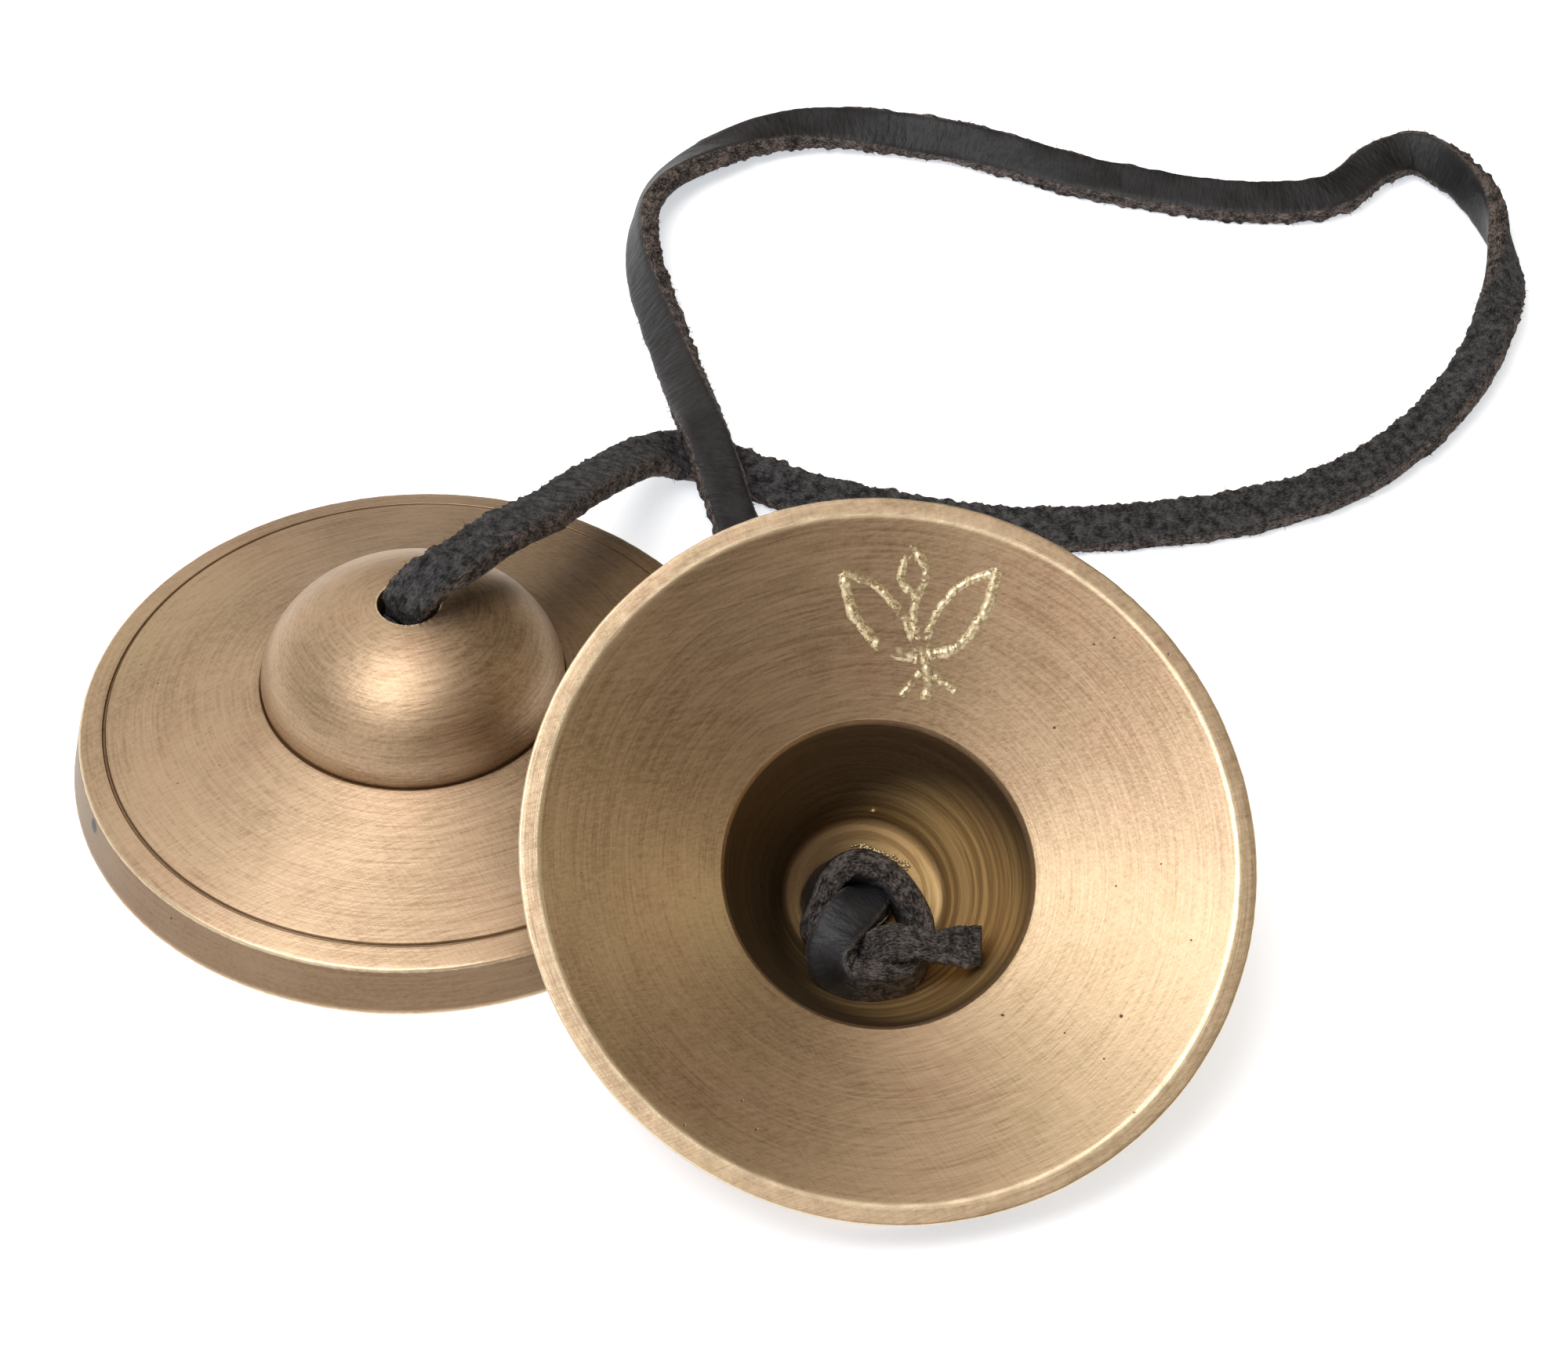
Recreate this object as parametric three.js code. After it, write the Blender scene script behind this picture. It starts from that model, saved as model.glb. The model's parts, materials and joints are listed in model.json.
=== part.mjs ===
// Hand cymbals: two small thick bronze cymbals joined by one leather lace with a knot at each end.
// Millimetres, +Z up, the floor at z = 0. The rear cymbal stands rim down; the front one lies on its
// dome with its bowl up, tilted so that its flange edge also meets the floor.
import * as THREE from "three";

// The casting: radii from its axis, heights from the plane of its rim.
const RIM_R = 35.0; // widest radius, at the foot of the outer band
const FLANGE_R = 33.95; // where the band meets the flange
const FLANGE_H = 5.3;
const DOME_R = 15.29; // the dome is half an ellipse
const DOME_H = 10.83;
const FOOT_H = 11.13; // height of the dome's foot
const GROOVE_R = 31.4; // turned groove in the flange
const HOLE_R = 3.1;
const HOLE_H = 21.73; // outer edge of the hole
const FLOOR_R = 7.83; // ring round the floor of the recess
const FLOOR_H = 19.17;
const MOUTH_R = 15.18; // where the recess opens into the bowl
const MOUTH_H = 8.19;
const BOWL_R = 33.1; // inner edge of the rim face
const SEGMENTS = 56;

// How the two cymbals stand.
const REAR = [-23.8, 13.8];
const FRONT_RIM = [24.04, -18.2, 21.74]; // middle of the front rim plane
const FRONT_TILT = 30; // degrees from level
const FRONT_FACING = 13.8; // degrees the low side is turned from -Y towards +X

// The lace, as a round cord of the leather's thickness.
const CORD_D = 2.6;
const END_GAP = 0.5; // from the cord's front end to the middle of the front hole
const STEM = 2.4; // depth below the rear hole's edge where the rear knot begins

// The middle line of the lace from the rear hole to the front hole.
const LACE = [
  [-23.8, 13.8, 19.8],
  [-23.7, 13.8, 22.0],
  [-21.7, 14.1, 24.6],
  [-18.8, 16.1, 25.4],
  [-15.3, 21.4, 24.2],
  [-11.2, 29.2, 20.2],
  [-7.5, 39.8, 14.5],
  [-0.4, 56.0, 4.4],
  [4.3, 57.4, 2.4],
  [17.3, 52.4, 1.7],
  [36.0, 48.6, 1.5],
  [59.9, 51.3, 1.6],
  [73.0, 56.5, 1.9],
  [82.2, 64.3, 2.2],
  [88.8, 73.5, 2.5],
  [93.6, 84.6, 2.5],
  [95.7, 94.5, 2.5],
  [94.9, 104.6, 2.5],
  [91.7, 111.6, 2.5],
  [87.1, 115.5, 2.5],
  [82.3, 113.2, 2.3],
  [76.8, 107.8, 1.9],
  [67.5, 106.3, 1.6],
  [49.1, 109.7, 1.6],
  [30.5, 116.1, 2.2],
  [11.8, 116.7, 2.4],
  [-0.8, 107.9, 2.3],
  [-3.9, 100.4, 2.5],
  [-4.0, 91.8, 2.5],
  [0.0, 75.1, 2.8],
  [2.5, 65.4, 4.0],
  [4.8, 55.6, 6.2],
  [7.0, 48.0, 5.0],
  [11.6, 32.0, 2.3],
  [18.0, 10.0, 1.5],
  [20.9, -3.4, 1.5],
  [21.3, -6.2, 1.9],
];

// An overhand knot as across, upslope and inward distances from the middle of its hole's outer edge.
// The stem rises through the ring of the knot, bends over its low side, runs once round as the ring,
// passes under itself and leaves over the ring as a short tail.
const KNOT = [
  [0.0, -0.3, 3.9],
  [-0.5, -1.2, 5.4],
  [-2.0, -2.2, 7.0],
  [-4.0, -4.0, 7.6],
  [-5.0, -6.3, 7.7],
  [-4.2, -8.5, 7.6],
  [-1.4, -9.4, 7.7],
  [1.6, -9.0, 7.2],
  [3.6, -7.0, 6.3],
  [4.3, -4.4, 5.6],
  [3.6, -1.4, 5.3],
  [1.9, 1.3, 5.3],
  [-0.8, 2.7, 5.3],
  [-3.4, 1.9, 5.0],
  [-4.9, -0.4, 4.5],
  [-4.9, -3.0, 4.2],
  [-3.2, -5.0, 4.6],
  [-1.2, -6.1, 6.4],
  [1.2, -6.3, 8.9],
  [4.0, -7.2, 9.8],
  [6.6, -7.6, 10.2],
  [9.0, -8.1, 10.7],
];

const vec = ([x, y, z]) => new THREE.Vector3(x, y, z);

// Half section of the casting as (radius, height), closed on itself: down the outside, back inside.
function profile() {
  const flange = (r) => FOOT_H - ((FOOT_H - FLANGE_H) * (r - DOME_R)) / (FLANGE_R - DOME_R);
  const dome = [17, 26, 36, 46, 56, 66, 76, 85].map((angle) => {
    const a = THREE.MathUtils.degToRad(angle);
    return [DOME_R * Math.sin(a), FOOT_H + DOME_H * Math.cos(a)];
  });
  const points = [
    [HOLE_R, HOLE_H - 0.25],
    [HOLE_R + 0.2, HOLE_H - 0.02],
    ...dome,
    [DOME_R - 0.1, FOOT_H - 0.35], // small V where the dome meets the flange
    [DOME_R + 0.16, flange(DOME_R + 0.16)],
    [24, flange(24) - 0.1],
    [GROOVE_R - 0.28, flange(GROOVE_R - 0.28)],
    [GROOVE_R, flange(GROOVE_R) - 0.3],
    [GROOVE_R + 0.28, flange(GROOVE_R + 0.28)],
    [FLANGE_R - 0.1, FLANGE_H + 0.1],
    [FLANGE_R + 0.12, FLANGE_H - 0.18],
    [RIM_R, 0.35],
    [RIM_R - 0.3, 0],
    [BOWL_R, 0],
    [BOWL_R - 0.3, 0.22],
    [MOUTH_R + 0.15, MOUTH_H],
    [MOUTH_R - 0.12, MOUTH_H + 0.25],
    [11.9, 13.75],
    [FLOOR_R, FLOOR_H],
    [HOLE_R + 0.15, FLOOR_H + 0.35],
    [HOLE_R, FLOOR_H + 0.45],
  ];
  return [...points, points[0]].map(([r, h]) => new THREE.Vector2(r, h));
}

// One cymbal with its rim in the plane z = 0 and its dome up.
function casting() {
  return new THREE.LatheGeometry(profile().reverse(), SEGMENTS).rotateX(Math.PI / 2);
}

// A round cord along a smooth line through the points, with flat ends.
function cord(points, steps) {
  const line = new THREE.CatmullRomCurve3(points, false, "centripetal");
  const ring = new THREE.Shape();
  for (let i = 0; i < 8; i++) {
    const a = (i * Math.PI) / 4;
    const [x, y] = [(CORD_D / 2) * Math.cos(a), (CORD_D / 2) * Math.sin(a)];
    i ? ring.lineTo(x, y) : ring.moveTo(x, y);
  }
  return new THREE.ExtrudeGeometry(ring, { steps, extrudePath: line, bevelEnabled: false });
}

// The front cymbal's directions: across its bowl, up its slope, and out of its mouth.
function frontAxes() {
  const tilt = THREE.MathUtils.degToRad(FRONT_TILT);
  const facing = THREE.MathUtils.degToRad(FRONT_FACING);
  const across = new THREE.Vector3(Math.cos(facing), Math.sin(facing), 0);
  const out = new THREE.Vector3(
    Math.sin(tilt) * Math.sin(facing),
    -Math.sin(tilt) * Math.cos(facing),
    Math.cos(tilt),
  );
  return { across, upslope: out.clone().cross(across), out };
}

const front = frontAxes();
const frontHole = vec(FRONT_RIM).addScaledVector(front.out, -HOLE_H);
const rearHole = new THREE.Vector3(REAR[0], REAR[1], HOLE_H);

// The front cymbal is the casting turned over, so its dome points out of the back of its bowl.
function frontCasting() {
  const turn = new THREE.Matrix4().makeBasis(
    front.across,
    front.upslope.clone().negate(),
    front.out.clone().negate(),
  );
  return casting().applyMatrix4(turn.setPosition(vec(FRONT_RIM)));
}

// The lace runs from inside the rear hole to just short of the middle of the front hole.
function lace() {
  const end = frontHole.clone().addScaledVector(front.out, -END_GAP);
  return cord([...LACE.map(vec), end], 88);
}

// A knot in the recess behind a hole, on the axes across, upslope and inward.
function knot(hole, across, upslope, inward, start) {
  const place = new THREE.Matrix4().makeBasis(across, upslope, inward).setPosition(hole);
  const points = [[0, 0, start], ...KNOT];
  return cord(points.map((p) => vec(p).applyMatrix4(place)), 50);
}

const frontKnot = () => knot(frontHole, front.across, front.upslope, front.out, END_GAP);

function rearKnot() {
  const axes = [new THREE.Vector3(0.6, 0.8, 0), new THREE.Vector3(0.8, -0.6, 0)];
  return knot(rearHole, ...axes, new THREE.Vector3(0, 0, -1), STEM);
}

const bronze = (colour, roughness) =>
  new THREE.MeshStandardMaterial({ color: colour, roughness, metalness: 1 });
const leather = (colour, roughness) =>
  new THREE.MeshStandardMaterial({ color: colour, roughness, metalness: 0 });

const group = new THREE.Group();
function add(name, geometry, material) {
  const mesh = new THREE.Mesh(geometry, material);
  mesh.name = name;
  group.add(mesh);
}

add("rear_cymbal", casting().translate(REAR[0], REAR[1], 0), bronze(0xa98a5c, 0.38));
add("front_cymbal", frontCasting(), bronze(0xb08f5e, 0.36));
add("lace", lace(), leather(0x17171a, 0.6));
add("rear_knot", rearKnot(), leather(0x1a191b, 0.62));
add("front_knot", frontKnot(), leather(0x19191c, 0.58));

export default group;
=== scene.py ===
"""Hand cymbals: two thick bronze cymbals joined by one flat leather lace knotted inside each dome."""

import json
import bpy
import numpy as np
from mathutils import Matrix, Vector


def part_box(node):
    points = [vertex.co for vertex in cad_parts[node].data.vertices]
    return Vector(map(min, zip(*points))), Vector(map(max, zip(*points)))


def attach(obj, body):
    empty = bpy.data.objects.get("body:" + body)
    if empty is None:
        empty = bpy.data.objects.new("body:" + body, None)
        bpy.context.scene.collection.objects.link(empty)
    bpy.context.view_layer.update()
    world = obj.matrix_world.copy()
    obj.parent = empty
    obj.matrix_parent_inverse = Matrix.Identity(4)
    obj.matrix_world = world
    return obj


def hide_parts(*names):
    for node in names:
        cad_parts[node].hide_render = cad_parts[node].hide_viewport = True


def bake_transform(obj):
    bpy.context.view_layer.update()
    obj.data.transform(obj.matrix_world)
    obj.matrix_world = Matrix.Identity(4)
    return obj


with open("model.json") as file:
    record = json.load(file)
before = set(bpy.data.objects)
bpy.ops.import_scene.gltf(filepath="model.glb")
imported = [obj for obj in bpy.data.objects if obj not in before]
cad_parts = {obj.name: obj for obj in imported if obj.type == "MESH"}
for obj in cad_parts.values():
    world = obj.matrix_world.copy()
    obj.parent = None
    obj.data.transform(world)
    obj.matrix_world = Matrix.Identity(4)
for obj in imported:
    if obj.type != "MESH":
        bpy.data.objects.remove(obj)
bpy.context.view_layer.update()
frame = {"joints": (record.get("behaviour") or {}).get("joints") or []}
joints = {joint["name"]: joint for joint in frame["joints"]}


# ---- The studio -------------------------------------------------------------------------------
# A white card under a softbox that hangs over the left front corner, with a weak warm fill at the
# right, as small metal things are lit to show broad highlights and a faint shadow round their feet.

class Wire:
    """A socket in a node tree. Arithmetic on it adds Math nodes, and node() adds any other node."""

    def __init__(self, tree, socket=None):
        self.tree, self.socket = tree, socket

    def node(self, kind, values, settings=None, out=0):
        """Adds a node of the kind, makes its settings, then fills its sockets by name or number."""
        made = self.tree.nodes.new("ShaderNode" + kind)
        for key, setting in (settings or {}).items():
            if key == "stops":
                ramp = made.color_ramp
                while len(ramp.elements) < len(setting):
                    ramp.elements.new(0.5)
                for element, (place, colour) in zip(ramp.elements, setting):
                    element.position, element.color = place, (*colour, 1)
            else:
                setattr(made, key, setting)
        for key, value in values.items():
            if isinstance(value, Wire):
                self.tree.links.new(value.socket, made.inputs[key])
            else:
                made.inputs[key].default_value = value
        return Wire(self.tree, made.outputs[out])

    def math(self, operation, *values):
        return self.node("Math", dict(enumerate(values)), {"operation": operation})

    def __add__(self, other): return self.math("ADD", self, other)
    def __sub__(self, other): return self.math("SUBTRACT", self, other)
    def __mul__(self, other): return self.math("MULTIPLY", self, other)
    def __truediv__(self, other): return self.math("DIVIDE", self, other)
    def __radd__(self, other): return self.math("ADD", other, self)
    def __rsub__(self, other): return self.math("SUBTRACT", other, self)
    def __rmul__(self, other): return self.math("MULTIPLY", other, self)
    def __rtruediv__(self, other): return self.math("DIVIDE", other, self)

    def step(self, low, high):
        """0 where the value is under low, 1 over high, and smooth between them."""
        values = {"Value": self, "From Min": low, "From Max": high}
        return self.node("MapRange", values, {"interpolation_type": "SMOOTHSTEP"})

    def mix(self, a, b):
        """The colour a where the value is 0 and b where it is 1."""
        a, b = ((*c, 1) if isinstance(c, tuple) else c for c in (a, b))
        return self.node("Mix", {0: self, 6: a, 7: b}, {"data_type": "RGBA"}, out=2)

    def scaled(self, x, y, z):
        """The vector with each of its parts multiplied."""
        return self.node("VectorMath", {0: self, 1: (x, y, z)}, {"operation": "MULTIPLY"})

    def noise(self, scale, detail=3.0, rough=0.5):
        """Cloudy noise from 0 to 1 at the vector."""
        values = {"Vector": self, "Scale": scale, "Detail": detail, "Roughness": rough}
        return self.node("TexNoise", values)

    def dot(self, way):
        """How far the vector points along the way given."""
        return self.node("VectorMath", {0: self, 1: way}, {"operation": "DOT_PRODUCT"}, out=1)

    def distance(self, point):
        return self.node("VectorMath", {0: self, 1: point}, {"operation": "DISTANCE"}, out=1)

    def attribute(self, name):
        """The value that each point of the mesh holds under the name."""
        return self.node("Attribute", {}, {"attribute_name": name}, out=2)


def material(name):
    """A new node material: its name, its Principled shader and a first wire."""
    made = bpy.data.materials.new(name)
    made.use_nodes = True
    return made, made.node_tree.nodes["Principled BSDF"], Wire(made.node_tree)


def feed(shader, **sockets):
    """Fills the shader's sockets: a wire is linked, a number or colour is set. _ stands for a space."""
    tree = shader.id_data
    for key, value in sockets.items():
        socket = shader.inputs[key.replace("_", " ")]
        if isinstance(value, Wire):
            tree.links.new(value.socket, socket)
        else:
            socket.default_value = value


def link(thing):
    """Puts an object in the scene."""
    bpy.context.scene.collection.objects.link(thing)
    return thing


def softbox(name, place, size, power, colour):
    """A round area light that faces the middle of the card."""
    lamp = bpy.data.lights.new(name, "AREA")
    lamp.shape, lamp.size, lamp.energy, lamp.color = "DISK", size, power, colour
    made = link(bpy.data.objects.new(name, lamp))
    made.location = place
    made.rotation_euler = (-Vector(place)).to_track_quat("-Z", "Y").to_euler()


softbox("overhead_softbox", (-0.155, -0.130, 0.585), 0.38, 1.75, (1.0, 1.0, 1.04))
softbox("right_fill", (0.60, 0.06, 0.36), 0.30, 0.30, (1.0, 0.95, 0.7))

# The room is dim and warm at the right and lighter towards its upper left side.
world = bpy.data.worlds.new("studio")
bpy.context.scene.world = world
world.use_nodes = True
room = Wire(world.node_tree)
LIT_SIDE = (-0.8, -0.1, 0.6)
facing = room.node("TexCoord", {}).dot(LIT_SIDE)
WALLS = [(0.26, (0.28, 0.23, 0.16)), (0.40, (0.12, 0.08, 0.05)), (0.52, (0.13, 0.095, 0.06)),
         (0.64, (0.55, 0.48, 0.40)), (0.8, (1.05, 1.0, 0.93)), (0.97, (0.62, 0.58, 0.53))]
walls = room.node("ValToRGB", {0: facing * 0.5 + 0.5}, {"stops": WALLS})
world.node_tree.links.new(walls.socket, world.node_tree.nodes["Background"].inputs["Color"])
bpy.context.scene.view_settings.view_transform = "Standard"

SWEEP = 3.0  # half width of the card
card_mesh = bpy.data.meshes.new("card")
card_corners = [(-SWEEP, -SWEEP, 0), (SWEEP, -SWEEP, 0), (SWEEP, SWEEP, 0), (-SWEEP, SWEEP, 0)]
card_mesh.from_pydata(card_corners, [], [(0, 1, 2, 3)])
card = link(bpy.data.objects.new("card", card_mesh))
card_finish, card_shader, wire = material("white_card")
feed(card_shader, Base_Color=(0.9, 0.9, 0.9, 1), Roughness=0.9, Specular_IOR_Level=0.1)
UNDER_FRONT = (0.0214, -0.0076, 0.0)  # where the front dome meets the card
# The card glows by itself so it stays white, and the glow fades out under the front dome: painted shade
# there.
away = wire.node("TexCoord", {}, out=3).distance(UNDER_FRONT)
glow = away.step(0.008, 0.024).mix((0, 0, 0), (0.48, 0.51, 0.55))  # bounced light, none under the dome
feed(card_shader, Emission_Color=glow, Emission_Strength=1.0)
card_mesh.materials.append(card_finish)

# The camera looks along +Y, 45 degrees down, leaning slightly to its right.
LENS, SENSOR = 96.4, 36.0  # millimetres
CAMERA = (0.01351, -0.28507, 0.31034)
PITCH, ROLL = np.radians(44.88), np.radians(1.52)
ahead = np.array([0, np.cos(PITCH), -np.sin(PITCH)])
level, lift = np.array([1.0, 0, 0]), np.array([0, np.sin(PITCH), np.cos(PITCH)])
right = np.cos(ROLL) * level + np.sin(ROLL) * lift
up = np.cos(ROLL) * lift - np.sin(ROLL) * level
camera = link(bpy.data.objects.new("camera", bpy.data.cameras.new("camera")))
camera.data.lens, camera.data.sensor_width = LENS, SENSOR
camera.data.clip_start, camera.data.clip_end = 0.01, 20
turned = Matrix(np.column_stack([right, up, -ahead]).tolist()).to_4x4()
camera.matrix_world = Matrix.Translation(CAMERA) @ turned
bpy.context.scene.camera = camera


# ---- The lace ---------------------------------------------------------------------------------
# One flat strip of black leather, 5 mm wide, cut from a thick hide. One face is the smooth dyed
# grain, the other the fibrous flesh side, and its cut edges are left raw. It lies as it fell.

MM = 0.001
LACE_WIDTH, LACE_THICK = 5.0 * MM, 2.55 * MM
LACE = [  # the middle of the strip, from the rear hole to the front hole
    (-0.0238, 0.0138, 0.0198),
    (-0.0237, 0.0138, 0.0220),
    (-0.0217, 0.0141, 0.0246),
    (-0.0188, 0.0161, 0.0254),
    (-0.0153, 0.0214, 0.0242),
    (-0.0112, 0.0292, 0.0202),
    (-0.0075, 0.0398, 0.0145),
    (-0.0004, 0.0560, 0.0044),
    (0.0043, 0.0574, 0.0024),
    (0.0173, 0.0524, 0.0017),
    (0.0360, 0.0486, 0.0015),
    (0.0599, 0.0513, 0.0016),
    (0.0730, 0.0565, 0.0019),
    (0.0822, 0.0643, 0.0022),
    (0.0888, 0.0735, 0.0025),
    (0.0936, 0.0846, 0.0025),
    (0.0957, 0.0945, 0.0025),
    (0.0949, 0.1046, 0.0025),
    (0.0917, 0.1116, 0.0025),
    (0.0871, 0.1155, 0.0025),
    (0.0823, 0.1132, 0.0023),
    (0.0768, 0.1078, 0.0019),
    (0.0675, 0.1063, 0.0016),
    (0.0491, 0.1097, 0.0016),
    (0.0305, 0.1161, 0.0022),
    (0.0118, 0.1167, 0.0024),
    (-0.0008, 0.1079, 0.0023),
    (-0.0039, 0.1004, 0.0025),
    (-0.0040, 0.0918, 0.0025),
    (0.0000, 0.0751, 0.0028),
    (0.0025, 0.0654, 0.0040),
    (0.0048, 0.0556, 0.0062),
    (0.0070, 0.0480, 0.0050),
    (0.0116, 0.0320, 0.0023),
    (0.0180, 0.0100, 0.0015),
    (0.0209, -0.0034, 0.0015),
    (0.0213, -0.0062, 0.0019),
    (0.02139, -0.00741, 0.00249),
]
LACE_SKIN = {  # which way the grain faces at these points of the lace
    0: (0.6, 0.8, 0.0),
    1: (0.6, 0.8, 0.0),
    3: (0.0, 0.0, -1.0),
    6: (0.1, 0.2, -1.0),
    7: (0.1, 0.45, -0.9),
    8: (0.1, 0.5, -0.87),
    10: (0.0, 0.42, -0.9),
    11: (0.0, 0.42, -0.9),
    12: (-0.1, 0.3, -0.95),
    13: (0.0, 0.15, -1.0),
    14: (0.15, 0.0, -1.0),
    15: (0.1, 0.0, -1.0),
    16: (-0.75, 0.2, -0.6),
    17: (-0.95, -0.1, 0.15),
    18: (-0.65, -0.5, 0.5),
    19: (-0.05, -0.75, 0.66),
    20: (0.2, -0.3, 0.93),
    21: (0.0, -0.3, 0.95),
    23: (0.0, -0.3, 0.95),
    24: (0.0, -0.7, 0.7),
    25: (-0.05, -0.1, 1.0),
    26: (-0.6, 0.2, 0.78),
    27: (-0.95, 0.1, 0.3),
    28: (-0.9, 0.0, 0.45),
    29: (-0.65, 0.0, 0.76),
    30: (-0.4, 0.0, 0.9),
    31: (0.0, 0.0, 1.0),
    35: (0.0, 0.0, 1.0),
    37: (-0.2, 0.84, 0.5),
}


def smooth_line(points, steps=40):
    """A centripetal Catmull-Rom line: each span is a cubic whose slopes come from the square roots
    of the distances between its four nearest points. Gives the line and each point's row in it."""
    p = np.array(points, float)
    p = np.vstack([2 * p[0] - p[1], p, 2 * p[-1] - p[-2]])
    a, b, c, d = p[:-3], p[1:-2], p[2:-1], p[3:]
    da, db, dc = (np.sqrt(np.linalg.norm(q, axis=1))[:, None] for q in (b - a, c - b, d - c))
    leave = ((b - a) / da - (c - a) / (da + db) + (c - b) / db) * db
    arrive = ((c - b) / db - (d - b) / (db + dc) + (d - c) / dc) * db
    t = np.linspace(0, 1, steps, endpoint=False)[None, :, None]
    b, c, leave, arrive = (q[:, None, :] for q in (b, c, leave, arrive))
    line = b + leave * t + (3 * (c - b) - 2 * leave - arrive) * t**2 + (2 * (b - c) + leave + arrive) * t**3
    return np.vstack([line.reshape(-1, 3), p[-2:-1]]), np.arange(len(points)) * steps


def unit(v):
    """Each vector divided by its own length."""
    return v / np.linalg.norm(v, axis=-1, keepdims=True)


def lattice_noise(places, seed):
    """Smooth noise from -1 to 1: random values on the whole-number lattice, joined by smoothstep."""
    cell = np.floor(places).astype(np.int64)
    t = places - cell
    t = t * t * (3 - 2 * t)
    total = 0.0
    for corner in np.ndindex(2, 2, 2):
        k = (cell + corner).astype(np.uint64)
        code = k[..., 0] * np.uint64(73856093) ^ k[..., 1] * np.uint64(19349663)
        code = code ^ k[..., 2] * np.uint64(83492791)
        code = (code + np.uint64(seed * 1013904223)) * np.uint64(6364136223846793005)
        value = ((code >> np.uint64(33)) % np.uint64(65536)).astype(float) / 32767.5 - 1
        total = total + value * np.prod(np.where(corner, t, 1 - t), axis=-1)
    return total


def grid_faces(rows, columns):
    """Quads of a grid whose columns close round on themselves."""
    i, j = np.meshgrid(np.arange(rows - 1), np.arange(columns), indexing="ij")
    k = (j + 1) % columns
    near, far = i * columns, (i + 1) * columns
    return np.stack([near + j, near + k, far + k, far + j], -1).reshape(-1, 4)


def new_piece(name, points, faces, finish, body, **attributes):
    """A smooth mesh piece that rides on a body, with one value or vector for each point in each attribute."""
    mesh = bpy.data.meshes.new(name)
    mesh.from_pydata(points.reshape(-1, 3).tolist(), [], [list(face) for face in faces])
    mesh.polygons.foreach_set("use_smooth", np.ones(len(mesh.polygons), bool))
    for key, values in attributes.items():
        vector = values.shape[-1] == 3 and values.ndim > 1
        made = mesh.attributes.new(key, "FLOAT_VECTOR" if vector else "FLOAT", "POINT")
        made.data.foreach_set("vector" if vector else "value", values.astype(np.float32).ravel())
    mesh.materials.append(finish)
    made = link(bpy.data.objects.new(name, mesh))
    if body:
        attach(made, body)
    return made


def strip_mesh(route, skin, width, thick, seed, spacing=0.26 * MM, around=42):
    """A flat strip carried along a line. Its section is a rounded oblong at even steps of girth:
    across = half width times the signed 0.3 power of cos a, and up = half thickness times the signed
    0.42 power of sin a. Its grain faces the skin directions. Noise pushes every point outwards,
    little on the grain and most at the corners of the flesh side, and lets the cut edges wander."""
    line, rows = smooth_line(route)
    along = np.concatenate([[0], np.cumsum(np.linalg.norm(np.diff(line, axis=0), axis=1))])
    s = np.linspace(0, along[-1], int(along[-1] / spacing) + 1)
    centre = np.column_stack([np.interp(s, along, line[:, k]) for k in range(3)])
    stations = along[rows[list(skin)]]
    faced = np.column_stack([np.interp(s, stations, [skin[i][k] for i in skin]) for k in range(3)])
    soften = np.hanning(int(1.8 * MM / spacing) * 2 + 1)
    padded = np.pad(faced, ((len(soften) // 2,) * 2, (0, 0)), "edge")
    faced = np.column_stack([np.convolve(column, soften / soften.sum(), "valid") for column in padded.T])
    ahead = unit(np.gradient(centre, axis=0))
    grain = unit(faced - (faced * ahead).sum(1, keepdims=True) * ahead)
    side = np.cross(grain, ahead)
    w, thickness = width(s), thick(s)[:, None]
    middle = thickness[len(s) // 2, 0]
    a = np.linspace(0, 2 * np.pi, 4001)
    x = np.sign(np.cos(a)) * np.abs(np.cos(a)) ** 0.3 * w[0] / 2
    y = np.sign(np.sin(a)) * np.abs(np.sin(a)) ** 0.42 * middle / 2
    girth = np.concatenate([[0], np.cumsum(np.hypot(np.diff(x), np.diff(y)))])
    even = np.linspace(0, girth[-1], around, endpoint=False)
    x, y = np.interp(even, girth, x) / w[0], np.interp(even, girth, y) / middle
    x, y = x[None, :] * w[:, None], y[None, :] * thickness
    place = np.stack([np.broadcast_to(s[:, None], x.shape), x, y], -1)
    slow, fine = lattice_noise(place / (3.1 * MM), seed), lattice_noise(place / (0.7 * MM), seed + 1)
    rough = lattice_noise(place / (0.36 * MM), seed + 2)
    skin_mask = np.clip(y / (thickness * 0.5) * 4 - 2.6, 0, 1)
    cut_mask = np.clip(np.abs(x) / (w[:, None] / 2) * 9 - 7.6, 0, 1)
    corner = cut_mask * (1 - skin_mask) * np.clip(0.4 - y / thickness, 0, 1)
    bump = 0.05 * MM * slow + (0.06 * MM * fine + 0.08 * MM * rough) * (1 - 0.88 * skin_mask)
    edge_run = np.stack([place[..., 0] / (1.9 * MM), np.sign(x) * 4.4, np.full(x.shape, 0.5)], -1)
    wave = lattice_noise(edge_run, seed + 3)
    bump = bump + corner * MM * (0.34 * fine + 0.2 * rough) + cut_mask * 0.2 * MM * wave
    outward = unit(np.stack([x / w[:, None], y / thickness], -1))
    x, y = x + bump * outward[..., 0], y + bump * outward[..., 1]
    points = centre[:, None, :] + x[..., None] * side[:, None, :] + y[..., None] * grain[:, None, :]
    faces = [list(face) for face in grid_faces(len(s), around)]
    faces += [list(range(around))[::-1], [(len(s) - 1) * around + k for k in range(around)]]
    return points, faces, place, skin_mask, cut_mask, centre


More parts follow.
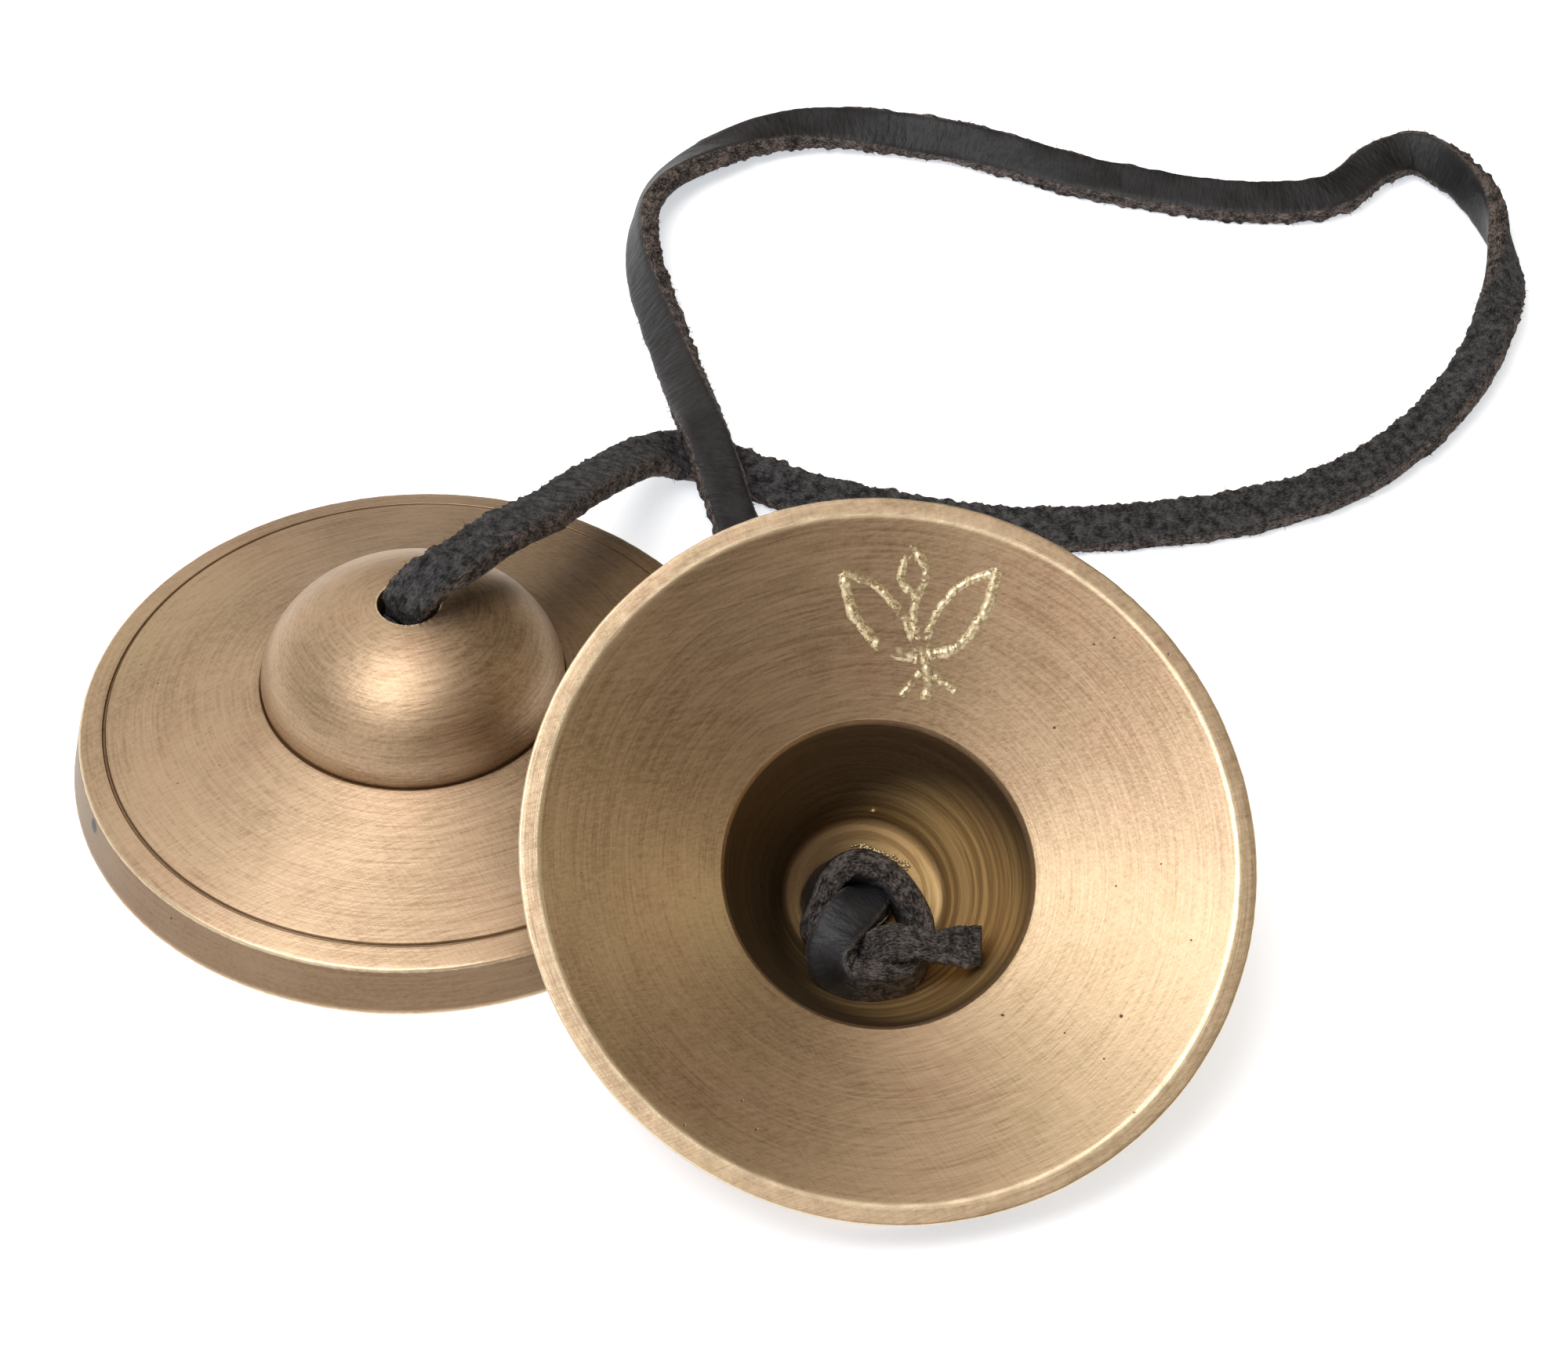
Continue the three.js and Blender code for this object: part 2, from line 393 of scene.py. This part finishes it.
def leather(name, raw_light):
    """Black leather in the strip's own unrolled space: smooth wrinkled grain on one face, pitted
    charcoal fibres on the other, and raw fibres on the cut edges that are as light as the colour given."""
    made, shader, wire = material(name)
    place = wire.node("Attribute", {}, {"attribute_name": "strip"}, out=1)
    skin, cut = wire.attribute("skin"), wire.attribute("cut")
    fibre = place.scaled(1, 2.2, 2.2).noise(2600, 4, 0.65)
    clump = place.noise(900, 3, 0.6)
    cloud = place.noise(260, 2)
    pits = place.node("TexVoronoi", {"Vector": place, "Scale": 2300})
    flesh = (fibre * 0.5 + clump * 0.5).step(0.36, 0.7).mix((0.003, 0.003, 0.003), (0.115, 0.112, 0.118))
    raw = (fibre * 0.6 + clump * 0.4).step(0.40, 0.66).mix((0.006, 0.005, 0.005), raw_light)
    hide = cloud.step(0.3, 0.7).mix((0.005, 0.005, 0.006), (0.017, 0.017, 0.020))
    colour = cut.mix(skin.mix(flesh, hide), raw)
    crease = place.scaled(1, 0.35, 1).noise(1500, 4, 0.55)
    height = skin * crease * 1.1 + (1 - skin) * (fibre + pits * 0.6 + clump * 0.8)
    bump = wire.node("Bump", {"Strength": 0.9, "Distance": 0.00022, "Height": height})
    feed(shader, Base_Color=colour, Roughness=0.93 - skin * 0.56 + crease * skin * 0.16, Normal=bump)
    feed(shader, Specular_IOR_Level=0.35)
    return made


def add_fibres(strip, count, longest, seed):
    """Loose fibres on the raw corners of a strip: each is a thin closed three-sided spike with a bend
    half way, growing outward from a point of the surface picked at random."""
    points, faces, place, skin_mask, cut_mask, centre = strip
    chance = np.random.default_rng(seed)
    raw = np.argwhere((cut_mask > 0.5) & (skin_mask < 0.3))
    i, j = raw[chance.integers(0, len(raw), count)].T
    root = points[i, j]
    way = unit(unit(root - centre[i]) + 0.55 * chance.normal(size=(count, 3)))
    reach = longest * chance.uniform(0.3, 1.0, count)[:, None] ** 1.5
    bend = root + way * reach * 0.5 + 0.12 * reach * chance.normal(size=(count, 3))
    tip = root + way * reach
    side = unit(np.cross(way, [0.3, 0.5, 0.81]))
    over = np.cross(way, side)
    ring = np.stack([np.cos(k) * side + np.sin(k) * over for k in (0, 2.094, 4.189)], 1) * 0.035 * MM
    foot = root - 0.1 * MM * way
    spikes = np.concatenate([foot[:, None] + ring, bend[:, None] + 0.7 * ring, tip[:, None]], 1)
    shape = [(2, 1, 0), (0, 1, 4, 3), (1, 2, 5, 4), (2, 0, 3, 5), (3, 4, 6), (4, 5, 6), (5, 3, 6)]
    first = points.shape[0] * points.shape[1]
    faces = faces + [[first + 7 * n + k for k in face] for n in range(count) for face in shape]
    points = np.concatenate([points.reshape(-1, 3), spikes.reshape(-1, 3)])
    place = np.concatenate([place.reshape(-1, 3), np.repeat(place[i, j], 7, 0)])
    skin_mask = np.concatenate([skin_mask.ravel(), np.zeros(7 * count)])
    return points, faces, place, skin_mask, np.concatenate([cut_mask.ravel(), np.ones(7 * count)]), centre


def even(size):
    """The same size at every place along a strip."""
    return lambda s: np.full(len(s), size)


black_leather = leather("black_leather", (0.22, 0.175, 0.157))
RAISED = 0.05 * MM
strip = strip_mesh(LACE, LACE_SKIN, even(LACE_WIDTH), even(LACE_THICK), seed=3)
points, faces, place, skin_mask, cut_mask, lace_line = add_fibres(strip, 1300, 0.75 * MM, seed=4)
points[:, 2] = np.maximum(points[:, 2], RAISED)  # its underside lies flat where it meets the table
masks = {"strip": place, "skin": skin_mask, "cut": cut_mask}
lace = new_piece("leather_lace", points, faces, black_leather, None, **masks)
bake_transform(lace)
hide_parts("lace")


# ---- The two knots ----------------------------------------------------------------------------
# Each end of the lace comes up through its hole and is tied in an overhand knot too big to slip
# back, pulled down against the wall of the recess. The ring of the knot stands on its edge, and a
# short square-cut tail leaves over it.

KNOT = [  # across, upslope and inward from the middle of a hole's outer edge
    (0.0, -0.0003, 0.0039),
    (-0.0005, -0.0012, 0.0054),
    (-0.0020, -0.0022, 0.0070),
    (-0.0040, -0.0040, 0.0076),
    (-0.0050, -0.0063, 0.0077),
    (-0.0042, -0.0085, 0.0076),
    (-0.0014, -0.0094, 0.0077),
    (0.0016, -0.0090, 0.0072),
    (0.0036, -0.0070, 0.0063),
    (0.0043, -0.0044, 0.0056),
    (0.0036, -0.0014, 0.0053),
    (0.0019, 0.0013, 0.0053),
    (-0.0008, 0.0027, 0.0053),
    (-0.0034, 0.0019, 0.0050),
    (-0.0049, -0.0004, 0.0045),
    (-0.0049, -0.0030, 0.0042),
    (-0.0032, -0.0050, 0.0046),
    (-0.0012, -0.0061, 0.0064),
    (0.0012, -0.0063, 0.0089),
    (0.0040, -0.0072, 0.0098),
    (0.0066, -0.0076, 0.0102),
    (0.0090, -0.0081, 0.0107),
]
KNOT_SKIN = {  # which way the grain faces at these points, the first being the start of the stem
    0: (0.0, 1.0, 0.0),
    1: (0.0, 0.95, 0.3),
    2: (0.3, 0.7, 0.7),
    3: (0.1, 0.2, 1.0),
    4: (-0.2, 0.0, 1.0),
    5: (-0.6, 0.0, 0.8),
    6: (-0.75, -0.5, 0.45),
    7: (-0.1, -0.9, 0.4),
    8: (0.5, -0.8, 0.35),
    9: (0.9, -0.4, 0.1),
    10: (1.0, 0.0, 0.0),
    11: (0.9, 0.45, 0.0),
    12: (0.6, 0.8, 0.0),
    13: (0.0, 1.0, 0.0),
    14: (-0.7, 0.7, 0.2),
    15: (-0.9, 0.1, 0.2),
    16: (-0.6, -0.1, -0.8),
    17: (0.0, 0.0, -1.0),
    19: (0.2, 0.0, -1.0),
    22: (0.1, 0.3, -1.0),
}


knot_leather = leather("knot_leather", (0.16, 0.135, 0.125))
FULL_WIDTH, TAIL_WIDTH, FULL_THICK = 4.8 * MM, 3.9 * MM, 2.75 * MM


def ramp(values, start, length):
    """0 at the start, 1 a length later, and straight between."""
    return np.clip((values - start) / length, 0, 1)


def knot_width(s):
    """Full width as far as the tail, which is narrower and pinched 5.5 mm before its end."""
    pinch = 1.0 * MM * np.exp(-(((s[-1] - s - 5.5 * MM) / (2.6 * MM)) ** 2))
    return FULL_WIDTH + (TAIL_WIDTH - FULL_WIDTH) * ramp(s / s[-1], 0.58, 0.12) - pinch


def knot_thickness(s):
    """Thicker by 1.7 mm where the strip is folded in the hole, and by 0.35 mm in the tail."""
    return FULL_THICK + 1.7 * MM * (1 - ramp(s, 2.0 * MM, 2.2 * MM)) + 0.35 * MM * ramp(s / s[-1], 0.7, 0.1)


def knot(name, node, body, hole, axes, start, seed):
    """The knot's strip, from the given depth in its hole, on the hole's own three axes. Its lower
    bend and its tail show the raw side."""
    route = np.array([(0, 0, start), *KNOT]) @ axes + hole
    skin = {i: tuple(np.array(way) @ axes) for i, way in KNOT_SKIN.items()}
    strip = strip_mesh(route, skin, knot_width, knot_thickness, seed, 0.19 * MM, 54)
    points, faces, place, skin_mask, cut_mask, _ = add_fibres(strip, 260, 0.45 * MM, seed + 5)
    tail_end = ramp(place[:, 0] / place[:, 0].max(), 0.7, 0.125)
    line, rows = smooth_line(route)
    reach = np.concatenate([[0], np.cumsum(np.linalg.norm(np.diff(line, axis=0), axis=1))])[rows]
    low_bend = np.interp(place[:, 0], reach[[6, 7, 10, 11]] - [0.2 * MM, 0.6 * MM, 0, 0], [0, 1, 1, 0])
    rawness = np.maximum(tail_end, low_bend)
    cut_mask, skin_mask = np.maximum(cut_mask, 0.8 * rawness), skin_mask * (1 - rawness)
    masks = {"strip": place, "skin": skin_mask, "cut": cut_mask}
    piece = new_piece(name, points, faces, knot_leather, body, **masks)
    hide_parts(node)
    return piece


turning = joints["front_cymbal_turn"]
tilting = joints["front_cymbal_tilt"]
rear_low, rear_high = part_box("rear_cymbal")
rear_axis = np.array([(rear_low.x + rear_high.x) / 2, (rear_low.y + rear_high.y) / 2, 0.0])
HOLE_HEIGHT = 21.73 * MM
front_out = np.array(turning["axis"])
front_across = unit(np.cross([0, 0, 1], front_out) * np.array([1, 1, 0]))
front_upslope = np.cross(front_out, front_across)
front_hole = np.array(tilting["pos_m"])
rear_hole = rear_axis + [0, 0, HOLE_HEIGHT]

front_axes = np.array([front_across, front_upslope, front_out])
rear_axes = np.array([(0.6, 0.8, 0), (0.8, -0.6, 0), (0, 0, -1)])
FRONT_START, REAR_START = 0.5 * MM, 2.4 * MM  # depth in the hole where the lace becomes the knot
front_knot = knot(
    "leather_front_knot", "front_knot", "front_knot", front_hole, front_axes, FRONT_START, seed=21)
rear_knot = knot("leather_rear_knot", "rear_knot", "lace", rear_hole, rear_axes, REAR_START, seed=41)


# ---- The cymbals ------------------------------------------------------------------------------
# Two castings of bell bronze, turned all over on a lathe and then brushed by hand. A thin groove
# runs round the flange, the rim is a flat ring, and the deep recess shows its tool rings. Painted
# shade darkens the recess, the groove, the dome's foot and the band, and painted light brightens
# the recess's lit side and the worn corners.

RIM_RADIUS = (rear_high.x - rear_low.x) / 2 / MM  # millimetres, as every size of the section
HOLE_RADIUS, HOLE_TOP = 3.1, HOLE_HEIGHT / MM
DOME_RADIUS, DOME_RISE, FOOT_HEIGHT = 15.29, 10.83, 11.13
FLANGE_RADIUS, FLANGE_HEIGHT = 33.98, 5.36
GROOVE_RADIUS, GROOVE_HEIGHT = 31.4, 5.95
BOWL_RADIUS = 33.1
MOUTH_RADIUS, MOUTH_HEIGHT = 15.18, 8.19
FLOOR_RADIUS, FLOOR_HEIGHT = 7.83, 19.17


def section():
    """Half section of a casting as closed (radius, height) points in millimetres. Each corner is
    (radius, height, rounding); a corner is replaced by a quadratic arc that starts and ends its
    rounding away from it, and straight stretches are filled with points."""
    slope = (FOOT_HEIGHT - FLANGE_HEIGHT) / (FLANGE_RADIUS - DOME_RADIUS)
    flange = lambda r: FOOT_HEIGHT - slope * (r - DOME_RADIUS)
    a = np.linspace(np.arcsin((HOLE_RADIUS + 0.3) / DOME_RADIUS), np.radians(88), 64)
    dome = [(DOME_RADIUS * np.sin(k), FOOT_HEIGHT + DOME_RISE * np.cos(k), 0.0) for k in a]
    t = np.linspace(0.68, 0.08, 10)
    wall_radius = FLOOR_RADIUS + (MOUTH_RADIUS - FLOOR_RADIUS) * t + 0.42 * np.sin(np.pi * t)
    wall = np.column_stack([wall_radius, FLOOR_HEIGHT + (MOUTH_HEIGHT - FLOOR_HEIGHT) * t, 0 * t])
    corners = [
        (HOLE_RADIUS, HOLE_TOP, 0.22),
        *dome,
        (DOME_RADIUS - 0.12, FOOT_HEIGHT - 0.38, 0.06),
        (DOME_RADIUS + 0.2, flange(DOME_RADIUS + 0.2), 0.12),
        (20.0, flange(20.0) - 0.07, 0.0),
        (24.5, flange(24.5) - 0.1, 0.0),
        (GROOVE_RADIUS - 0.22, flange(GROOVE_RADIUS - 0.22), 0.05),
        (GROOVE_RADIUS - 0.1, flange(GROOVE_RADIUS) - 0.24, 0.06),
        (GROOVE_RADIUS + 0.1, flange(GROOVE_RADIUS) - 0.27, 0.06),
        (GROOVE_RADIUS + 0.2, flange(GROOVE_RADIUS + 0.2), 0.05),
        (FLANGE_RADIUS, FLANGE_HEIGHT, 0.28),
        (RIM_RADIUS, 0.0, 0.3),
        (BOWL_RADIUS, 0.0, 0.2),
        (MOUTH_RADIUS, MOUTH_HEIGHT, 0.1),
        *wall,
        (FLOOR_RADIUS, FLOOR_HEIGHT, 2.2),
        (HOLE_RADIUS, FLOOR_HEIGHT + 0.4, 0.3),
    ]
    here = np.array(corners)
    before, after = np.roll(here, 1, 0), np.roll(here, -1, 0)
    points = []
    for p, q, n in zip(here, before, after):
        to_q, to_n = q[:2] - p[:2], n[:2] - p[:2]
        reach = min(p[2], 0.45 * np.hypot(*to_q), 0.45 * np.hypot(*to_n))
        start, end = p[:2] + to_q / np.hypot(*to_q) * reach, p[:2] + to_n / np.hypot(*to_n) * reach
        t = np.linspace(0, 1, 7 if reach > 0 else 1)[:, None]
        points.extend((1 - t) ** 2 * start + 2 * t * (1 - t) * p[:2] + t**2 * end)
    points = np.array(points + [points[0]])
    filled = []
    for p, q in zip(points[:-1], points[1:]):
        count = max(1, int(np.ceil(np.hypot(*(q - p)) / 0.42)))
        filled.extend(p + (q - p) * np.linspace(0, 1, count, endpoint=False)[:, None])
    return np.array(filled)


def casting(name, node, turn, place, seed, segments=320):
    """The section turned round its axis: x = r cos a, y = r sin a, z = h, then set in place. Worn
    corners wander by noise in the angle, and the recess carries rings left by the tool. Each point
    also holds how worn it is and how much painted highlight its corners get, how much painted shade
    it gets, whether inside the recess and how deep in it the metal is."""
    half = section()
    r, h = half[:, 0], half[:, 1]
    along = np.concatenate([[0], np.cumsum(np.hypot(*np.diff(half, axis=0).T))])
    after, before = np.roll(half, -1, 0), np.roll(half, 1, 0)
    way = unit(after - before)
    normal = np.column_stack([-way[:, 1], way[:, 0]])
    worn_corners = [(FLANGE_RADIUS, FLANGE_HEIGHT), (RIM_RADIUS, 0), (BOWL_RADIUS, 0),
                    (MOUTH_RADIUS, MOUTH_HEIGHT), (HOLE_RADIUS, HOLE_TOP)]
    near = np.min([np.hypot(r - cr, h - ch) for cr, ch in worn_corners], axis=0)
    by_mouth = (h > MOUTH_HEIGHT - 0.5) & (h < MOUTH_HEIGHT + 0.5)
    rim_face = (r > BOWL_RADIUS - 0.1) & (h < 0.35)
    # Worn corners: real rounding and lighter metal, with painted highlight laid over them in the colour.
    wear = np.maximum(np.exp(-((near / 0.34) ** 2)) * np.where(by_mouth, 0.45, 1.0), 0.55 * rim_face)
    band = np.clip((r - FLANGE_RADIUS + 0.12) / 0.15, 0, 1) * np.clip((h - 0.4) / 0.3, 0, 1)
    groove = np.exp(-((np.hypot(r - GROOVE_RADIUS, h - GROOVE_HEIGHT) / 0.2) ** 2))
    foot = np.exp(-((np.hypot(r - DOME_RADIUS, h - FOOT_HEIGHT + 0.3) / 0.4) ** 2))
    recess = np.clip((h - MOUTH_HEIGHT - 0.05) / 0.2, 0, 1) * (r < 15.4) * (h < FLOOR_HEIGHT + 0.6)
    dome_share = np.clip((h - FOOT_HEIGHT) / DOME_RISE, 0, 1)
    inside = recess * (r < DOME_RADIUS * np.sqrt(1 - dome_share**2) - 0.4)
    sunk = inside * np.clip((h - MOUTH_HEIGHT) / (FLOOR_HEIGHT - MOUTH_HEIGHT), 0, 1)
    floor = inside * np.clip((h - FLOOR_HEIGHT + 0.9) / 0.6, 0, 1)
    a = np.linspace(0, 2 * np.pi, segments, endpoint=False)
    spin = np.stack(np.broadcast_arrays(np.cos(a)[None, :], np.sin(a)[None, :], along[:, None]), -1)
    ragged = lattice_noise(spin * [60.0, 60.0, 1.2], seed)
    ragged = ragged + 0.6 * lattice_noise(spin * [17.0, 17.0, 0.7], seed + 1)
    rings = lattice_noise(spin * [0.6, 0.6, 2.1], seed + 2)
    push = -0.035 * wear[:, None] * (0.6 + ragged) + 0.03 * inside[:, None] * rings
    radius, height = r[:, None] + push * normal[:, 0:1], h[:, None] + push * normal[:, 1:2]
    points = np.stack([radius * np.cos(a), radius * np.sin(a), height], -1) * MM
    points = points @ np.array(turn) + place
    faces = grid_faces(len(half) + 1, segments) % (len(half) * segments)
    spread = lambda v: np.broadcast_to(v[:, None], (len(half), segments))
    # Painted shade: darker in the groove, at the dome's foot, on the band and on the recess floor.
    soot = np.maximum.reduce([groove * 0.8, foot * 0.5, band * 0.68, floor * 0.6])
    masks = {"wear": wear, "soot": soot, "inside": inside, "sunk": sunk}
    masks = {key: spread(values) for key, values in masks.items()}
    made = new_piece(name, points, faces, bronze, node, turned=spin * [1, 1, MM], **masks)
    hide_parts(node)


# The pit is not cut into the metal: its dark inside is painted shade.
SLOT = (-0.05466, -0.00101, 0.00407)  # a small dark pit in the band of the rear cymbal


def bell_bronze():
    """Brushed bronze: warm tan with brown and greenish clouds, fine turned rings crossed by brush
    strokes, bright where its corners are worn, partly worn metal and partly painted highlight, and
    darkened by painted shade in its grooves, at the dome's foot, on the band and on the recess floor.
    The recess carries painted shade, dark brown at its mouth and on its upper left, and painted light
    in its golden tool rings elsewhere."""
    made, shader, wire = material("bell_bronze")
    spin = wire.node("Attribute", {}, {"attribute_name": "turned"}, out=1)
    wear, soot = wire.attribute("wear"), wire.attribute("soot")
    inside, sunk = wire.attribute("inside"), wire.attribute("sunk")
    place = wire.node("TexCoord", {}, out=3)
    turned = spin.scaled(2.2, 2.2, 3400).noise(1.0, 4, 0.7)
    brushed = place.node("Mapping", {"Vector": place, "Rotation": (0, 0, -0.42)})
    brushed = brushed.scaled(70, 3300, 3300).noise(1.0, 4, 0.7)
    crossed = place.node("Mapping", {"Vector": place, "Rotation": (0, 0, 0.95)})
    crossed = crossed.scaled(80, 3600, 3600).noise(1.0, 4, 0.7)
    scratch = turned * 0.4 + brushed * 0.38 + crossed * 0.22
    cloud = place.noise(55, 3, 0.55)
    green = place.noise(31, 2, 0.5)
    red = place.noise(95, 3, 0.6)
    tan = cloud.step(0.3, 0.72).mix((0.34, 0.235, 0.14), (0.52, 0.375, 0.24))
    tan = (red.step(0.5, 0.72) * 0.5).mix(tan, (0.42, 0.25, 0.16))
    tone = (green.step(0.5, 0.7) * 0.45).mix(tan, (0.40, 0.32, 0.17))
    tone = (scratch.step(0.40, 0.60) * 0.55).mix(tone, (0.66, 0.49, 0.34))
    tone = ((1 - scratch.step(0.38, 0.46)) * 0.3).mix(tone, (0.22, 0.13, 0.075))
    # Painted shade in the recess: darker towards its mouth and on its upper left, where less light falls.
    upper = 0.62 - spin.dot((0.55, 0.45, 0.0))
    rings = spin.scaled(0.7, 0.7, 1900).noise(1.0, 2, 0.6)
    # Painted light: the tool rings are painted bright gold where the recess is lit, at its right.
    recess_light_and_shade = rings.step(0.4, 0.6).mix((0.56, 0.36, 0.15), (0.95, 0.67, 0.31))
    shaded = (upper * (1 - sunk * sunk * 0.35) + (1 - sunk) * (1 - sunk) * 0.85).step(0.22, 0.95)
    recess_light_and_shade = (shaded * 0.95).mix(recess_light_and_shade, (0.045, 0.028, 0.014))
    tone = (inside * 0.9).mix(tone, recess_light_and_shade)
    # Painted shade, dark brown, in the groove, at the dome's foot, on the band and on the recess floor.
    tone = (soot * 0.9).mix(tone, (0.09, 0.05, 0.022))
    ragged = place.noise(1400, 3, 0.6)
    # Worn corners painted light: partly worn metal, partly painted highlight.
    bright = (wear * (0.6 + 0.7 * ragged)).step(0.35, 0.9)
    tone = (bright * 0.8).mix(tone, (0.86, 0.72, 0.5))
    specks = place.node("TexVoronoi", {"Vector": place, "Scale": 300})
    fleck = 1 - (specks + place.noise(900) * 0.12).step(0.075, 0.105)
    # Painted shade: the pit's dark inside, black and not metallic.
    metal = place.distance(SLOT).step(0.0006, 0.0009)
    tone = (1 - metal).mix(tone, (0.012, 0.007, 0.004))
    tone = (fleck * 0.75).mix(tone, (0.07, 0.04, 0.02))
    rough = 0.34 + scratch * 0.18 + inside * 0.12 - bright * 0.05 + fleck * 0.3
    bump = wire.node("Bump", {"Strength": 0.6, "Distance": 0.00009, "Height": scratch - fleck})
    feed(shader, Base_Color=tone, Metallic=metal, Roughness=rough, Normal=bump)
    return made


bronze = bell_bronze()
casting("bronze_rear_cymbal", "rear_cymbal", np.eye(3), rear_axis, seed=5)
front_turn = np.array([front_across, -front_upslope, -front_out])
casting("bronze_front_cymbal", "front_cymbal", front_turn, np.array(turning["pos_m"]), seed=9)


# ---- The scratched sprig ----------------------------------------------------------------------
# A sprig of leaves scratched into the bowl by hand and rubbed with pale gold paint, and a few grains
# of gold left in the recess beside the knot.

def bowl_point(across, upslope, lifted):
    """A point over the bowl, in millimetres from the middle of its rim: its depth runs straight
    between the hole, the floor, the mouth and the rim, less the height it is lifted."""
    radii = (HOLE_RADIUS, FLOOR_RADIUS, MOUTH_RADIUS, BOWL_RADIUS)
    depths = (FLOOR_HEIGHT + 0.4, FLOOR_HEIGHT, MOUTH_HEIGHT, 0.0)
    depth = np.interp(np.hypot(across, upslope), radii, depths)
    return np.array(turning["pos_m"]) + np.stack([across, upslope, lifted - depth], -1) @ front_axes * MM


SPRIG = [  # across and upslope on the bowl, then the width of the scratch
    ([(7.6, 15.8), (8.0, 18.8), (7.2, 21.8), (7.7, 25.2)], 0.85),
    ([(7.2, 19.6), (4.4, 20.8), (1.7, 24.2), (0.9, 28.2)], 0.95),
    ([(0.9, 28.2), (3.8, 26.8), (6.1, 23.8), (7.2, 20.4)], 0.7),
    ([(7.9, 19.8), (10.9, 19.9), (13.8, 22.4), (15.7, 26.0)], 0.95),
    ([(15.7, 26.0), (12.3, 25.4), (9.4, 23.2), (8.0, 20.6)], 0.7),
    ([(7.7, 25.2), (6.5, 26.9), (7.8, 29.2), (9.0, 27.0), (7.8, 25.1)], 0.75),
    ([(5.2, 16.6), (6.2, 17.4), (7.3, 18.4)], 0.6),
    ([(10.4, 16.1), (9.3, 17.1), (8.2, 18.1)], 0.6),
]


def scratches(strokes):
    """Thin flat ribbons over the bowl: each row has its left and right edge lifted 0.03 mm over the
    metal and again 0.05 mm under it, and the width wanders by noise along the stroke."""
    points, faces = [], []
    for n, (stroke, width) in enumerate(strokes):
        line, _ = smooth_line([(a, u, 0.0) for a, u in stroke], steps=24)
        way = unit(np.gradient(line[:, :2], axis=0))
        left = np.column_stack([-way[:, 1], way[:, 0]])
        walked = np.cumsum(np.hypot(*np.gradient(line[:, :2], axis=0).T)) * 3.0
        edges = []
        for side, layer in ((left, 0.5), (-left, 9.5)):
            noise = lattice_noise(np.stack(np.broadcast_arrays(walked, n * 21.9, layer), -1), 61)
            edges.append(line[:, :2] + side * width * (0.58 + 0.24 * noise)[:, None])
        corners = ((edges[0], 0.03), (edges[1], 0.03), (edges[1], -0.05), (edges[0], -0.05))
        ring = [bowl_point(edge[:, 0], edge[:, 1], lifted) for edge, lifted in corners]
        first = sum(len(p) for p in points)
        points.append(np.stack(ring, 1).reshape(-1, 3))
        faces += [[first + k for k in face] for face in grid_faces(len(line), 4)[:, ::-1]]
        faces += [[first + k for k in range(4)], [first + 4 * (len(line) - 1) + k for k in (3, 2, 1, 0)]]
    return np.concatenate(points), faces


def gold_paint(name, patchy):
    """Pale gold paint, worn into grains: the metal shows through wherever the noise is low."""
    made, shader, wire = material(name)
    place = wire.node("TexCoord", {}, out=3)
    grains = place.noise(2300, 4, 0.7)
    gold = grains.step(0.35, 0.65).mix((0.62, 0.47, 0.24), (0.95, 0.85, 0.6))
    feed(shader, Base_Color=gold, Metallic=0.85, Roughness=0.45)
    if patchy:
        feed(shader, Alpha=grains.step(0.40, 0.47) * place.noise(420, 2).step(0.3, 0.42))
    return made


points, faces = scratches(SPRIG)
sprig = new_piece("scratched_sprig", points, faces, gold_paint("gold_in_scratches", True), "front_cymbal")

GRAINS, GRAIN_SHAPE = 90, (1.2, 0.7, 0.5)  # half sizes across, upslope and out


def gold_grains(across, upslope, size, lifted):
    """Octahedra over the bowl, longer than they are wide or high: each is its middle plus its size
    times six corners on the cymbal's own three axes."""
    middle = bowl_point(across, upslope, lifted)
    corners = np.array([(1, 0, 0), (0, 1, 0), (-1, 0, 0), (0, -1, 0), (0, 0, 1), (0, 0, -1)])
    turned = corners * GRAIN_SHAPE @ front_axes
    sides = np.array([(0, 1, 4), (1, 2, 4), (2, 3, 4), (3, 0, 4), (1, 0, 5), (2, 1, 5), (3, 2, 5), (0, 3, 5)])
    faces = (np.arange(len(size))[:, None, None] * 6 + sides).reshape(-1, 3)
    return middle[:, None] + turned * size[:, None, None] * MM, faces


chance = np.random.default_rng(12)
along = chance.uniform(0, 1, GRAINS)
across = 0.3 + 4.9 * along + chance.normal(0, 0.16, GRAINS)
upslope = 5.25 - 3.05 * along**1.5 + chance.normal(0, 0.14, GRAINS)
size = chance.uniform(0.08, 0.22, GRAINS)
gold_leaf = gold_paint("gold_leaf", False)
points, faces = gold_grains(across, upslope, size, 0.05 + size * 0.5)
grains = new_piece("gold_grains_by_knot", points, faces, gold_leaf, "front_knot")
points, faces = gold_grains(np.array([2.5]), np.array([8.2]), np.array([0.34]), 0.02)
lone_grain = new_piece("gold_grain_on_wall", points, faces, gold_leaf, "front_cymbal")
